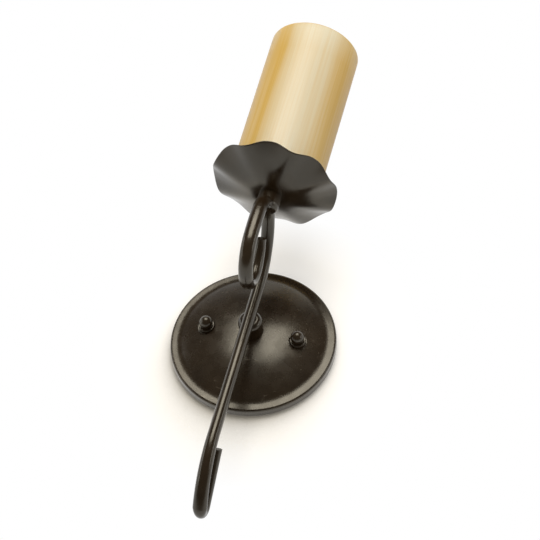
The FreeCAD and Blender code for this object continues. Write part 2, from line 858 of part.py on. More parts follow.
def bulb_profile(offset, foot):
    """Outline of the lamp's glass, moved inwards by an offset."""
    neck_radius = lamp_cap_radius - lamp_cap_sheet - thread_gap - offset
    belly = lamp_glass_radius - offset
    shoulder = lamp_cap_top + lamp_neck
    belly_low = shoulder + lamp_shoulder
    dome_low = lamp_cap_top + lamp_neck + lamp_glass_height
    soft = lamp_shoulder / 3
    return [(0, foot), (neck_radius, foot), (neck_radius, shoulder, soft), (belly, belly_low, soft),
            (belly, dome_low + belly, lamp_crown * belly), (0, dome_low + belly)]


def lamp_glass():
    """Tubular glass bulb with a round end, open inside its cap."""
    foot = lamp_cap_top - lamp_neck / 2
    outside = turned(bulb_profile(0, foot), lamp_axis)
    inside = turned(bulb_profile(lamp_glass_wall, foot), lamp_axis)
    return outside.cut(inside)


def lamp_filament():
    """Glass stem with two support wires and a filament across them."""
    foot = lamp_cap_bottom + lamp_cap_sheet
    stem_top = lamp_cap_top + glass_stem_height
    wire_top = stem_top + filament_height
    pieces = [rod(glass_stem_radius, foot, stem_top, lamp_axis)]
    low = stem_top - glass_stem_radius
    for side in (-1, 1):
        top = lamp_axis + Vector(side * filament_spread, 0, wire_top)
        start = lamp_axis + Vector(side * glass_stem_radius / 2, 0, low)
        direction = top - start
        pieces.append(Part.makeCylinder(filament_wire, direction.Length, start, direction))
    left = lamp_axis + Vector(-filament_spread, 0, wire_top)
    pieces.append(Part.makeCylinder(filament_wire, 2 * filament_spread, left, X))
    return fused(*pieces)


# ---------------------------------------------------------------------------------------------
# All pieces, one file each
# ---------------------------------------------------------------------------------------------

pieces = {
    "box_strap": box_strap(),
    "swivel_eyelet": swivel_eyelet(),
    "fixture_strap": fixture_strap(),
    "mounting_studs": mounting_studs(),
    "stud_lock_nuts": stud_lock_nuts(),
    "ground_screw": ground_screw(),
    "backplate": backplate(),
    "cap_nut_left": cap_nut(nut_places["left"]),
    "cap_nut_right": cap_nut(nut_places["right"]),
    "hub": hub(),
    "hub_pipe": hub_pipe(),
    "hub_washer": hub_washer(),
    "hub_nut": hub_nut(),
    "scroll_arm": scroll_arm(),
    "knuckle": knuckle(),
    "upper_pipe": upper_pipe(),
    "upper_nut": upper_nut(),
    "fluted_dish": fluted_dish(),
    "shade_seat": shade_seat(),
    "seat_gasket": seat_gasket(),
    "lampholder_cap": holder_cap(),
    "lampholder_body": holder_body(),
    "screw_shell": screw_shell(),
    "centre_contact": centre_contact(),
    "terminal_screws": terminal_screws(),
    "fixture_lead": fixture_lead(),
    "shade_ring": shade_ring(),
    "glass_shade": glass_shade(),
    "lamp_contact": lamp_contact(),
    "lamp_insulator": lamp_insulator(),
    "lamp_cap": lamp_cap(),
    "lamp_glass": lamp_glass(),
    "lamp_filament": lamp_filament(),
}

os.makedirs("parts", exist_ok=True)
for name, shape in pieces.items():
    shape.exportStep(f"parts/{name}.step")
    box = shape.BoundBox
    print(f"{name:16s} solids {len(shape.Solids)} valid {shape.isValid()} volume {shape.Volume:9.1f} "
          f"x {box.XMin:.1f}..{box.XMax:.1f} y {box.YMin:.1f}..{box.YMax:.1f} "
          f"z {box.ZMin:.1f}..{box.ZMax:.1f}")
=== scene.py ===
# %% [markdown]
# # A torch sconce in dark bronze and amber glass
#
# The object is a wall lamp of the kind a small metal shop makes from stock shapes. A round pressed
# backplate holds a turned hub, the hub holds a long bent tube that rolls into a scroll, and the
# scroll carries a fluted saucer with a glass cylinder in it. Every metal piece in view wears one
# coat of satin bronze paint, so the lesson is mostly about one dark paint and one warm glass.
#
# The frame is in metres: X is to the right, -Y is out of the wall, Z is up, and the wall is y = 0.

import bpy
import bmesh
import json
import math
from mathutils import Matrix, Vector, noise


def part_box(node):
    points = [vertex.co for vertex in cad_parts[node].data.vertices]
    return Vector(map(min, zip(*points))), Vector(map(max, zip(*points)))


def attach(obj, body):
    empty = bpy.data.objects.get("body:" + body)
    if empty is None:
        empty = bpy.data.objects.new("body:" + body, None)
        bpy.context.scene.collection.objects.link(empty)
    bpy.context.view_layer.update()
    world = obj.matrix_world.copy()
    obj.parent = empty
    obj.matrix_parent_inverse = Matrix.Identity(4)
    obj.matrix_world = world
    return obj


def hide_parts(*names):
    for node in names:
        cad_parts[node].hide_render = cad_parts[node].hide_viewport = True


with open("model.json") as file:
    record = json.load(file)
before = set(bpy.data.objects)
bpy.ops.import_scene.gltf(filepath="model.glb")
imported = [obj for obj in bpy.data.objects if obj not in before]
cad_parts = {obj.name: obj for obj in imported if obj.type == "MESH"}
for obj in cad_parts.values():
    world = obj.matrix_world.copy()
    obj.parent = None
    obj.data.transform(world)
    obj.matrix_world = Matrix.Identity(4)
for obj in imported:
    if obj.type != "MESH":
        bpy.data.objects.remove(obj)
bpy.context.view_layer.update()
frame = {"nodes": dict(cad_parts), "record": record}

# %% [markdown]
# Sizes are easier to read in millimetres, which is what a ruler shows, while Blender's unit here is
# the metre. One factor turns one into the other, and every size of the sconce is written with it.

# %% Units
MM = 0.001
TAU = 2 * math.pi

shade_reach = 85 * MM                          # from the wall to the line that glass and lamp stand on
shade_axis = Vector((0, -shade_reach, 0))


def node_span(node):
    """Lowest and highest height of a CAD node."""
    low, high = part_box(node)
    return low[2], high[2]


print("glass and lamp stand", shade_reach / MM, "mm from the wall")

# %% [markdown]
# ## Colour and nodes
#
# Painters' charts and web pages give colours as sRGB hex codes, but a shader mixes light, so it
# wants linear values. One function does that step for every colour in the file. A second function
# adds a node, sets it up and links it, so that each material reads as a short list. A Map Range
# node's list is the value, the two ends that it is measured between, and what those two become. A
# Mix node has its two numbers in sockets 2 and 3 and its two colours in sockets 6 and 7.

# %% Colour and node helpers
def linear(code):
    """sRGB hex code to a linear colour."""
    parts = [int(code[i:i + 2], 16) / 255 for i in (0, 2, 4)]
    straight = [c / 12.92 if c <= 0.04045 else ((c + 0.055) / 1.055) ** 2.4 for c in parts]
    return (*straight, 1.0)


def add(tree, kind, inputs=(), **settings):
    """Adds a node with its settings. Inputs go by name or number, or as a list from the first on.

    Each is a value, a socket to link from, or a node, which stands for its first output.
    """
    made = tree.nodes.new(kind)
    for name, value in settings.items():
        setattr(made, name, value)
    for name, value in inputs.items() if isinstance(inputs, dict) else enumerate(inputs):
        if isinstance(value, bpy.types.Node):
            value = value.outputs[0]
        if isinstance(value, bpy.types.NodeSocket):
            tree.links.new(value, made.inputs[name])
        else:
            made.inputs[name].default_value = value
    return made


def new_material(name):
    """Empty material and the tree to fill."""
    made = bpy.data.materials.new(name)
    made.use_nodes = True
    made.node_tree.nodes.clear()
    return made, made.node_tree


print("half grey on a chart is", round(linear("808080")[0], 2), "in light")

# %% [markdown]
# ## The camera
#
# The sconce is seen from below and a little from the right, from almost two metres away, with the
# picture turned a few degrees. A long lens keeps the round plate from looking stretched. The angles
# are those of the line from the sconce to the eye.

# %% Camera
view_distance = 1800 * MM
view_azimuth = math.radians(14.04)
view_elevation = math.radians(-32.64)
view_roll = math.radians(16.88)                # turn of the picture about the line of sight
view_target = Vector((-4.9 * MM, 0, 69.9 * MM))
view_depth = 20                                # metres, past the edges of the wall
lens_mm = 153.65

eye_line = Vector((math.sin(view_azimuth) * math.cos(view_elevation),
                   -math.cos(view_azimuth) * math.cos(view_elevation),
                   math.sin(view_elevation)))
camera_data = bpy.data.cameras.new("camera")
camera_data.lens = lens_mm
camera_data.clip_end = view_depth
camera = bpy.data.objects.new("camera", camera_data)
bpy.context.collection.objects.link(camera)
camera.rotation_mode = "QUATERNION"
camera.location = view_target + eye_line * view_distance
level = (-eye_line).to_track_quat("-Z", "Y")
camera.rotation_quaternion = level @ Matrix.Rotation(view_roll, 4, "Z").to_quaternion()
bpy.context.scene.camera = camera
print("camera at", [round(v, 4) for v in camera.location])

# %% [markdown]
# ## The wall
#
# The sconce lies against a plain white board, which here is the wall plane. A large plane stands
# for it. It is shown only from its front, so that the sconce's back can be looked at too, and only
# to rays that look at it, so that the white comes from its colour and not from more light on the
# metal. A Light Path node tells which rays those are.

# %% Rays that look
def seen_directly(tree):
    """One for rays that show a surface to the eye, straight or in metal and glass, and else zero."""
    path = add(tree, "ShaderNodeLightPath").outputs
    seen = add(tree, "ShaderNodeMath", [path["Is Camera Ray"], path["Is Glossy Ray"]], operation="ADD")
    return add(tree, "ShaderNodeMath", [seen, path["Is Transmission Ray"]], operation="ADD", use_clamp=True)


# %% [markdown]
# A thing on a board hides part of the window from it, and leaves a soft shade. A lamp as large as a
# window would wash out the dark paint, so the board works the shade out with Ambient Occlusion
# tilted towards the window, and gives less of its own white where less of the window is open. Only
# the eye sees that shade: metal mirrors the bright board, or the straps at the back would look
# black.

# %% The board's own white
wall_glow = 0.64                               # share of the white that doesn't depend on the lamps
window_side = (0.1, -0.15, 0.98)               # the board sees most of its light from above
window_reach = 90 * MM                         # a piece that is farther away hides nothing
window_rays = 16
sky_hidden = 0.6                               # share of the window that leaves the board no glow
sky_open = 0.97                                # and the share that leaves it all


def board_glow(tree):
    """The board's own white, weaker for the eye where the sconce hides the window."""
    tilt = add(tree, "ShaderNodeCombineXYZ", window_side)
    open_sky = add(tree, "ShaderNodeAmbientOcclusion", {"Distance": window_reach, "Normal": tilt},
                   samples=window_rays).outputs["AO"]
    shaded = add(tree, "ShaderNodeMapRange", [open_sky, sky_hidden, sky_open, 0, wall_glow])
    eye = add(tree, "ShaderNodeLightPath").outputs["Is Camera Ray"]
    return add(tree, "ShaderNodeMix", {0: eye, 2: wall_glow, 3: shaded}, data_type="FLOAT")


# %% [markdown]
# The rest of the board's white is matte paint under the lamps, which gives the sharper shadow.
# Away from the hub the board fades to plain white, where no shadow reaches it.

# %% Wall plane
wall_half = 6.0                                # metres
wall_gap = 0.4 * MM                            # behind the backplate's edge
wall_white = linear("FFFFFF")
wall_shade = linear("C6C4BF")                  # of the matte paint, and so the shadow's depth
wall_near = 85 * MM                            # shadows show this far from the hub
wall_far = 125 * MM                            # beyond this the board is plain white


def white_wall():
    """Matte white board that is drawn on its front only."""
    material, tree = new_material("white_wall_board")
    matte = add(tree, "ShaderNodeBsdfDiffuse", {"Color": wall_shade})
    glow = add(tree, "ShaderNodeEmission", {"Color": wall_white, "Strength": board_glow(tree)})
    near = add(tree, "ShaderNodeAddShader", [matte, glow])
    place = add(tree, "ShaderNodeTexCoord").outputs["Object"]
    reach = add(tree, "ShaderNodeVectorMath", [place], operation="LENGTH").outputs["Value"]
    far = add(tree, "ShaderNodeMapRange", [reach, wall_near, wall_far, 0, 1])
    plain = add(tree, "ShaderNodeEmission", {"Color": wall_white, "Strength": 1.0})
    whole = add(tree, "ShaderNodeMixShader", [far, near, plain])
    back = add(tree, "ShaderNodeNewGeometry").outputs["Backfacing"]
    front = add(tree, "ShaderNodeMath", [1.0, back], operation="SUBTRACT")
    shown = add(tree, "ShaderNodeMath", [seen_directly(tree), front], operation="MULTIPLY")
    clear = add(tree, "ShaderNodeBsdfTransparent")
    drawn = add(tree, "ShaderNodeMixShader", [shown, clear, whole])
    add(tree, "ShaderNodeOutputMaterial", [drawn])
    return material


wall_mesh = bpy.data.meshes.new("wall")
wall_corners = [(x * wall_half, wall_gap, z * wall_half) for x, z in ((-1, -1), (1, -1), (1, 1), (-1, 1))]
wall_mesh.from_pydata(wall_corners, [], [(0, 1, 2, 3)])
wall_mesh.materials.append(white_wall())
wall = bpy.data.objects.new("wall", wall_mesh)
bpy.context.collection.objects.link(wall)
print("wall", 2 * wall_half, "m square, front towards", list(wall_mesh.polygons[0].normal))

# %% [markdown]
# ## The room
#
# The world is white for a look past the wall, and gives a weak, even and slightly warm light. In
# front of the sconce lies the dim room that a dark paint needs to look dark: a mirror shows the
# wall's half in white and the room's half in grey.

# %% World
ambient_warm = linear("F5EDDD")
ambient_strength = 0.5
room_strength = 0.12                           # what a mirror that faces the room shows
room_begins = 0.0                              # Y of a mirrored look where the room starts to show
room_full = -0.3                               # and where it shows alone


def studio_world():
    """White for every look past the wall, a dim room for mirrors that face it, and even light."""
    world = bpy.data.worlds.new("studio")
    world.use_nodes = True
    tree = world.node_tree
    tree.nodes.clear()
    look = add(tree, "ShaderNodeTexCoord").outputs["Generated"]
    heading = add(tree, "ShaderNodeSeparateXYZ", [look]).outputs["Y"]
    to_room = add(tree, "ShaderNodeMapRange", [heading, room_begins, room_full, 0, 1])
    mirrored = add(tree, "ShaderNodeLightPath").outputs["Is Glossy Ray"]
    dim = add(tree, "ShaderNodeMath", [to_room, mirrored], operation="MULTIPLY")
    even = add(tree, "ShaderNodeBackground", {"Color": ambient_warm, "Strength": ambient_strength})
    white = add(tree, "ShaderNodeBackground", {"Color": wall_white, "Strength": 1.0})
    room = add(tree, "ShaderNodeBackground", {"Color": ambient_warm, "Strength": room_strength})
    looked = add(tree, "ShaderNodeMixShader", [seen_directly(tree), even, white])
    add(tree, "ShaderNodeOutputWorld", [add(tree, "ShaderNodeMixShader", [dim, looked, room])])
    return world


bpy.context.scene.world = studio_world()
bpy.context.scene.view_settings.view_transform = "Standard"
print("world:", bpy.context.scene.world.name)

# %% [markdown]
# ## The lamps
#
# Dark glossy tube is drawn by what it mirrors, so each lamp is a soft box with a size of its own. A
# wide key box hangs in front of the sconce, high up: it lights the dome and throws the shadow below
# the plate. Two tall narrow boxes at the sides leave thin bright lines along the tube. A weak box
# overhead lights the saucer and the upper edges.

# %% Soft boxes
def soft_box(name, place, wide, high, watts, colour="FFFFFF"):
    """Rectangular lamp that faces the middle of the sconce."""
    data = bpy.data.lights.new(name, "AREA")
    data.shape = "RECTANGLE"
    data.size, data.size_y = wide, high
    data.energy = watts
    data.color = linear(colour)[:3]
    lamp = bpy.data.objects.new(name, data)
    lamp.location = place
    lamp.rotation_mode = "QUATERNION"
    lamp.rotation_quaternion = (shade_axis - Vector(place)).to_track_quat("-Z", "Y")
    bpy.context.collection.objects.link(lamp)


soft_box("key_box", place=(-0.16, -1.42, 0.7), wide=1.05, high=0.85, watts=15.5, colour="FFF8EE")
soft_box("left_box", place=(-1.3, -0.5, -0.1), wide=0.25, high=1.2, watts=2.5)
soft_box("right_box", place=(1.3, -0.6, 0.3), wide=0.3, high=1.0, watts=2.5)
soft_box("top_box", place=(0.1, -0.38, 1.5), wide=1.2, high=0.4, watts=1.3, colour="FFF6E4")

# %% [markdown]
# ## Patterns of a real size
#
# Paint, metal and glass are never quite even, and each unevenness has a size of its own: a cloud of
# thicker paint is centimetres wide, its orange peel a millimetre. One function draws noise whose
# grains have a given size, and may stretch them along an axis for scratches and streaks.

# %% Noise of a real size
noise_low, noise_high = 0.3, 0.7               # nearly all of a noise field lies between these
tone_low, tone_high = 0.35, 0.65               # a closer pair gives more contrast


def noise_field(tree, where, size, detail=3, stretch=(1, 1, 1)):
    """Noise whose grains are about a size in metres, longer along an axis with a stretch."""
    scaled = add(tree, "ShaderNodeMapping", {"Vector": where, "Scale": [1 / s for s in stretch]})
    return add(tree, "ShaderNodeTexNoise", {"Vector": scaled, "Scale": 1 / size, "Detail": detail})


# %% [markdown]
# ## Dark bronze paint
#
# The backplate, hub, arm, knuckle, saucer and cap nuts are steel under one coat of baked satin
# paint. The paint is a dark warm brown that reads as aged bronze. It is sprayed, so it has a fine
# orange peel and a slow change of tone and gloss where it lies thicker. A paint's IOR is a little
# over 1.5, and its gloss comes from the clear skin on top, so the colour stays dark and only the
# highlight is light. The skin is a thin coat over the pigment, whose own highlight is a shade warm.
#
# The peel is a bump, since its real depth is hundredths of a millimetre, and its grains are drawn
# about twice as wide as real ones, so that they show. The plate is the piece that hands hold when
# the sconce is hung, so it also has pale rubbed scratches in patches, and wide shallow dents.

# %% Bronze paint
tone_size = 28 * MM                            # patches where the coat lies thicker
gloss_size = 7 * MM
peel_size = 1.3 * MM
peel_strength = 0.07
peel_depth = 0.15 * MM
scratch_size = 0.5 * MM
scratch_stretch = (26, 1, 5)                   # scratches run along X, and a little along Z
scratch_low, scratch_high = 0.66, 0.72         # only the crests of the noise are scratches
patch_size = 16 * MM
patch_low, patch_high = 0.5, 0.6
dent_size = 17 * MM
paint_dark, paint_light = linear("21170D"), linear("2C2115")
rubbed_pale = linear("6E675C")
warm_highlight = linear("F9F5E2")
paint_ior = 1.55
skin_weight = 0.3                              # of the clear skin that rises to the top of the paint


def bronze_paint(name, smooth, rough, scratched=0.0, dented=0.0):
    """Baked satin paint between two roughnesses, with optional scratches and slow dents of a depth."""
    material, tree = new_material(name)
    where = add(tree, "ShaderNodeTexCoord").outputs["Object"]
    tone = add(tree, "ShaderNodeMapRange", [
        noise_field(tree, where, tone_size), tone_low, tone_high, 0, 1])
    colour = add(tree, "ShaderNodeMix", {0: tone, 6: paint_dark, 7: paint_light},
                 data_type="RGBA").outputs[2]
    gloss = add(tree, "ShaderNodeMapRange", [
        noise_field(tree, where, gloss_size, detail=5), noise_low, noise_high, smooth, rough])
    height = noise_field(tree, where, peel_size, detail=2)
    if scratched:
        lines = add(tree, "ShaderNodeMapRange", [
            noise_field(tree, where, scratch_size, detail=2, stretch=scratch_stretch),
            scratch_low, scratch_high, 0, 1])
        patches = add(tree, "ShaderNodeMapRange", [
            noise_field(tree, where, patch_size, detail=2), patch_low, patch_high, 0, scratched])
        marks = add(tree, "ShaderNodeMath", [lines, patches], operation="MULTIPLY")
        colour = add(tree, "ShaderNodeMix", {0: marks, 6: colour, 7: rubbed_pale},
                     data_type="RGBA").outputs[2]
        height = add(tree, "ShaderNodeMath", [height, marks], operation="ADD")
    skin = add(tree, "ShaderNodeBump", {
        "Height": height, "Strength": peel_strength, "Distance": peel_depth})
    if dented:
        dents = add(tree, "ShaderNodeBump", {
            "Height": noise_field(tree, where, dent_size, detail=1), "Strength": 1.0,
            "Distance": dented})
        tree.links.new(dents.outputs[0], skin.inputs["Normal"])
    shader = add(tree, "ShaderNodeBsdfPrincipled", {
        "Base Color": colour, "Roughness": gloss, "IOR": paint_ior, "Specular Tint": warm_highlight,
        "Coat Weight": skin_weight, "Coat Roughness": gloss, "Normal": skin, "Coat Normal": skin})
    add(tree, "ShaderNodeOutputMaterial", [shader])
    return material


arm_paint = bronze_paint("baked_bronze_paint", smooth=0.19, rough=0.27)
plate_paint = bronze_paint("baked_bronze_paint_handled", smooth=0.24, rough=0.3,
                           scratched=0.6, dented=0.3 * MM)
print("paints:", arm_paint.name, plate_paint.name)

# %% [markdown]
# ## Plain metals
#
# Behind the plate and inside the glass there is no paint. The straps, studs and nuts are zinc
# plated: a pale blue-grey metal whose plating is cloudy at the scale of a few millimetres. The
# pipes, the lamp's cap and the contacts are drawn brass, warm and a little smoother. Solder is a
# dull grey bead, and tungsten wire is darker still. All are true metals, so metallic is 1, the IOR
# keeps its default, and the base colour is the colour of the reflection itself.

# %% Zinc, brass, solder and tungsten
metal_fineness = 10                            # fine grains of the skin across one cloud
metal_bump = 0.1
metal_depth = 0.05 * MM


def clouded(name, colours, roughness, grain, tones, skin, surface):
    """Cloudy colour and gloss at one grain size, under a skin of finer grains.

    The tones are the ends of the noise between which the colour changes. The skin is its fineness,
    strength and depth, and the surface is what else sets the shader apart.
    """
    fineness, strength, depth = skin
    dark, light = (linear(code) for code in colours)
    material, tree = new_material(name)
    where = add(tree, "ShaderNodeTexCoord").outputs["Object"]
    cloud = noise_field(tree, where, grain, detail=4)
    share = add(tree, "ShaderNodeMapRange", [cloud, *tones, 0, 1])
    colour = add(tree, "ShaderNodeMix", {0: share, 6: dark, 7: light}, data_type="RGBA").outputs[2]
    gloss = add(tree, "ShaderNodeMapRange", [cloud, noise_low, noise_high, *roughness])
    fine = noise_field(tree, where, grain / fineness, detail=2)
    bump = add(tree, "ShaderNodeBump", {"Height": fine, "Strength": strength, "Distance": depth})
    shader = add(tree, "ShaderNodeBsdfPrincipled", {
        "Base Color": colour, "Roughness": gloss, "Normal": bump} | surface)
    add(tree, "ShaderNodeOutputMaterial", [shader])
    return material


def bare_metal(name, dark, light, smooth, rough, grain):
    """Unpainted metal."""
    return clouded(name, (dark, light), (smooth, rough), grain, (tone_low, tone_high),
                   (metal_fineness, metal_bump, metal_depth), {"Metallic": 1.0})


zinc = bare_metal("zinc_plated_steel", "A9ADB0", "C6C9CB", 0.28, 0.42, 5 * MM)
brass = bare_metal("drawn_brass", "B58F4C", "D2AE6A", 0.22, 0.36, 4 * MM)
solder = bare_metal("lead_free_solder", "9C9D9C", "BDBEBC", 0.3, 0.45, 1 * MM)
tungsten = bare_metal("tungsten_wire", "6F6B66", "8B867F", 0.35, 0.5, 1 * MM)
print("metals:", zinc.name, brass.name, solder.name, tungsten.name)

# %% [markdown]
# ## Moulded and sheathed pieces
#
# The lampholder and its ring are phenolic, a hard black moulding with faint brown clouds. The ring
# of rubber under the glass is matt, the lead's sheath is soft and pale, the insulator in the
# lamp's cap is black glass, and the earth screw is lacquered green so that it can't be mistaken.
# None of them is a metal, and an IOR of 1.5 suits resin, rubber, glass and lacquer alike.

# %% Phenolic, rubber, sheath, vitreous and lacquer
moulded_ior = 1.5
moulded_fineness = 8
moulded_bump = 0.2
moulded_low, moulded_high = 0.4, 0.7           # set high, so that the light clouds are the rarer


def moulded(name, dark, light, smooth, rough, grain, depth):
    """Piece that is no metal, with faint clouds."""
    return clouded(name, (dark, light), (smooth, rough), grain, (moulded_low, moulded_high),
                   (moulded_fineness, moulded_bump, depth), {"IOR": moulded_ior})


phenolic = moulded("black_phenolic", "14110F", "241D18", 0.3, 0.42, 6 * MM, 0.05 * MM)
rubber = moulded("black_rubber", "1A1A19", "262524", 0.7, 0.85, 2 * MM, 0.1 * MM)
sheath = moulded("cream_lead_sheath", "CFC7B0", "DAD3BF", 0.4, 0.5, 3 * MM, 0.05 * MM)
vitreous = moulded("black_vitreous_glass", "0B0B0D", "15151A", 0.08, 0.16, 3 * MM, 0.02 * MM)
lacquer = moulded("green_lacquer", "1D5A33", "2A7444", 0.25, 0.35, 3 * MM, 0.03 * MM)
print("moulded:", phenolic.name, rubber.name, sheath.name, vitreous.name, lacquer.name)

# %% [markdown]
# ## Amber glass
#
# The cylinder is streaked art glass: cream and amber batches are pulled together while hot, so the
# colour runs in soft bands along the cylinder, from half a millimetre to a centimetre wide. The
# wall is milky, so the lamp inside isn't seen through it, and light that enters comes out spread
# and warm. Seen edge on, light crosses more glass, which deepens the amber towards both sides.
# Layer Weight gives that depth, and noise stretched along Z gives the streaks. Light also enters
# through the lip, and that glow is painted: the colour pales over the last two centimetres.
#
# The lamp inside is a tube of thin clear blown glass, of the hard kind, with a faint warm tint.

# %% Amber and clear glass
band_size, band_stretch = 13 * MM, (1, 1, 24)
streak_size, streak_stretch = 1.2 * MM, (1, 1, 70)
band_share, streak_share = 0.16, 0.09          # how far each moves the blend of cream and amber
facing_blend = 0.5                             # at a half, Facing is the plain falloff with the angle
edge_low, edge_high = 0.16, 0.48               # Facing where the amber begins and where it is full
# painted light at the lip: how far up it reaches, and how far it pales the colour
lip_height, lip_light_share = 24 * MM, 0.25           # reach of the pale lip, and how far it moves the blend
glass_cream, glass_amber = linear("F4F0DC"), linear("E0BC60")
milky = 0.3                                    # share of the light that soaks through the wall


def amber_glass():
    """Milky streaked glass, with painted light towards the lip."""
    material, tree = new_material("streaked_amber_glass")
    where = add(tree, "ShaderNodeTexCoord").outputs["Object"]
    bands = add(tree, "ShaderNodeMapRange", [
        noise_field(tree, where, band_size, detail=2, stretch=band_stretch),
        noise_low, noise_high, -band_share, band_share])
    streaks = add(tree, "ShaderNodeMapRange", [
        noise_field(tree, where, streak_size, detail=3, stretch=streak_stretch),
        noise_low, noise_high, -streak_share, streak_share])
    facing = add(tree, "ShaderNodeLayerWeight", {"Blend": facing_blend}).outputs["Facing"]
    edges = add(tree, "ShaderNodeMapRange", [facing, edge_low, edge_high, 0, 1])
    height = add(tree, "ShaderNodeSeparateXYZ", [where]).outputs["Z"]
    lip = node_span("glass_shade")[1]
    # Painted light: the colour pales towards the lip, where light enters the glass.
    painted_lip_light = add(tree, "ShaderNodeMapRange", [height, lip - lip_height, lip, 0, -lip_light_share])
    depth = add(tree, "ShaderNodeMath", [edges, bands], operation="ADD")
    change = add(tree, "ShaderNodeMath", [streaks, painted_lip_light], operation="ADD")
    warm = add(tree, "ShaderNodeMath", [change, depth], operation="ADD", use_clamp=True)
    colour = add(tree, "ShaderNodeMix", {0: warm, 6: glass_cream, 7: glass_amber},
                 data_type="RGBA").outputs[2]
    shader = add(tree, "ShaderNodeBsdfPrincipled", {"Base Color": colour, "Roughness": 0.3, "IOR": 1.5})
    through = add(tree, "ShaderNodeBsdfTranslucent", {"Color": colour})
    add(tree, "ShaderNodeOutputMaterial", [add(tree, "ShaderNodeMixShader", [milky, shader, through])])
    return material


def clear_glass():
    """Thin blown glass of the lamp: clear, with a faint warm tint."""
    material, tree = new_material("clear_lamp_glass")
    shader = add(tree, "ShaderNodeBsdfPrincipled", {
        "Base Color": linear("FBF6EC"), "Roughness": 0.02, "IOR": 1.47, "Transmission Weight": 1.0})
    add(tree, "ShaderNodeOutputMaterial", [shader])
    return material


amber = amber_glass()
bulb_glass = clear_glass()
print("glass:", amber.name, bulb_glass.name)

# %% [markdown]
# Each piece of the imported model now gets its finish. The names on the left are the material slots
# of the record, and the loop goes through every node of the frame, so no piece can be forgotten.

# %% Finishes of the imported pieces
slot_finish = {
    "bronze_paint": arm_paint, "zinc_steel": zinc, "plain_brass": brass, "green_screw": lacquer,
    "gasket_rubber": rubber, "black_phenolic": phenolic, "amber_glass": amber,
    "clear_glass": bulb_glass, "cap_insulator": vitreous, "solder": solder, "lead_cover": sheath,
}
node_slot = {row["node"]: row["material_slot"] for row in frame["record"]["subparts"]}
for node, solid in frame["nodes"].items():
    solid.data.materials.clear()
    solid.data.materials.append(slot_finish[node_slot[node]])
print("finished", len(frame["nodes"]), "packed pieces")

# %% [markdown]
# ## One way to make a turned piece
#
# Most of what follows is round: glass, saucer, threads, the lamp's cap. A real one is spun, blown
# or turned about an axis, so the mesh is made the same way: a profile of radius and height is
# carried round the axis. A shaping function may then move each point a little, which is enough for
# a thread, a flute or the slight wave of blown glass.
#
# The profile comes first. Its corners are written as a list, and a corner may have a rounding.

# %% Profiles
arc_steps = 6                                  # straight pieces that draw one rounded corner


def soft_profile(corners):
    """Profile points from (radius, height[, rounding]) corners, with an arc at each rounding."""
    points = []
    count = len(corners)
    for i, corner in enumerate(corners):
        here = Vector(corner[:2])
        rounding = corner[2] if len(corner) > 2 else 0
        if not rounding:
            points.append(here)
            continue
        into = (Vector(corners[i - 1][:2]) - here).normalized()
        out = (Vector(corners[(i + 1) % count][:2]) - here).normalized()
        half = into.angle(out) / 2
        start, end = here + into * rounding / math.tan(half), here + out * rounding / math.tan(half)
        centre = here + (into + out).normalized() * rounding / math.sin(half)
        for j in range(arc_steps + 1):
            arm = (start - centre).lerp(end - centre, j / arc_steps).normalized()
            points.append(centre + arm * rounding)
    return points


def divided(points, step, closed):
    """The same profile with long runs cut into steps."""
    result = []
    last = len(points) if closed else len(points) - 1
    for i in range(last):
        start, end = points[i], points[(i + 1) % len(points)]
        parts = max(1, math.ceil((end - start).length / step))
        result += [start.lerp(end, j / parts) for j in range(parts)]
    return result if closed else result + [points[-1]]


sample = soft_profile([(0, 0), (3 * MM, 0, 1 * MM), (3 * MM, 5 * MM)])
print("three corners, one of them rounded, make", len(sample), "points")

# %% [markdown]
# The profile is then carried round in steps. Each step gives every point of it a new place, and
# four neighbours make a face. A point on the axis stays one point, and its faces have three sides.

# %% Turned pieces
on_axis = 1e-7                                 # a ring with less radius is one point on the axis


def smooth_object(bm, name):
    """Object of a finished bmesh, smooth shaded."""
    for face in bm.faces:
        face.smooth = True
    mesh = bpy.data.meshes.new(name)
    bm.to_mesh(mesh)
    bm.free()
    piece = bpy.data.objects.new(name, mesh)
    bpy.context.collection.objects.link(piece)
    return piece


def turned(name, corners, step, segments, closed=False, shape=None, place=shade_axis, outwards=False):
    """Mesh object of a profile carried round +Z, or round the way out of the wall."""
    profile = divided(soft_profile(corners), step, closed)
    bm = bmesh.new()
    rings = []
    for radius, height in profile:
        if radius < on_axis:
            rings.append([bm.verts.new((0, 0, height))])
            continue
        ring = []
        for k in range(segments):
            angle = TAU * k / segments
            grow, lift = shape(angle, radius, height) if shape else (0, 0)
            spread = radius + grow
            ring.append(bm.verts.new((spread * math.cos(angle), spread * math.sin(angle), height + lift)))
        rings.append(ring)
    pairs = list(zip(rings, rings[1:]))
    if closed:
        pairs.append((rings[-1], rings[0]))
    for low, high in pairs:
        for k in range(segments):
            m = (k + 1) % segments
            if len(low) == 1:
                bm.faces.new((low[0], high[m], high[k]))
            elif len(high) == 1:
                bm.faces.new((low[k], low[m], high[0]))
            else:
                bm.faces.new((low[k], low[m], high[m], high[k]))
    bmesh.ops.recalc_face_normals(bm, faces=bm.faces)
    turn = Matrix.Rotation(TAU / 4, 4, "X") if outwards else Matrix()
    bm.transform(Matrix.Translation(place) @ turn)
    return smooth_object(bm, name)


# %% [markdown]
# Every piece made here is dressed in one way too. It gets its material, its edges stay crisp where
# two faces meet at more than an angle, and it rides on the body that carries it. Where it takes the
# place of an imported piece, that node is hidden.

# %% Dressing
def dress(piece, body, material, slot, *nodes, crisp=None):
    """Gives a piece its finish, its place in the frame and, from an angle in degrees, crisp edges."""
    piece.data.materials.append(material)
    if crisp:
        piece.data.set_sharp_from_angle(angle=math.radians(crisp))
    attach(piece, body)
    if nodes:
        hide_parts(*nodes)
    print(piece.name, "rides on", body)


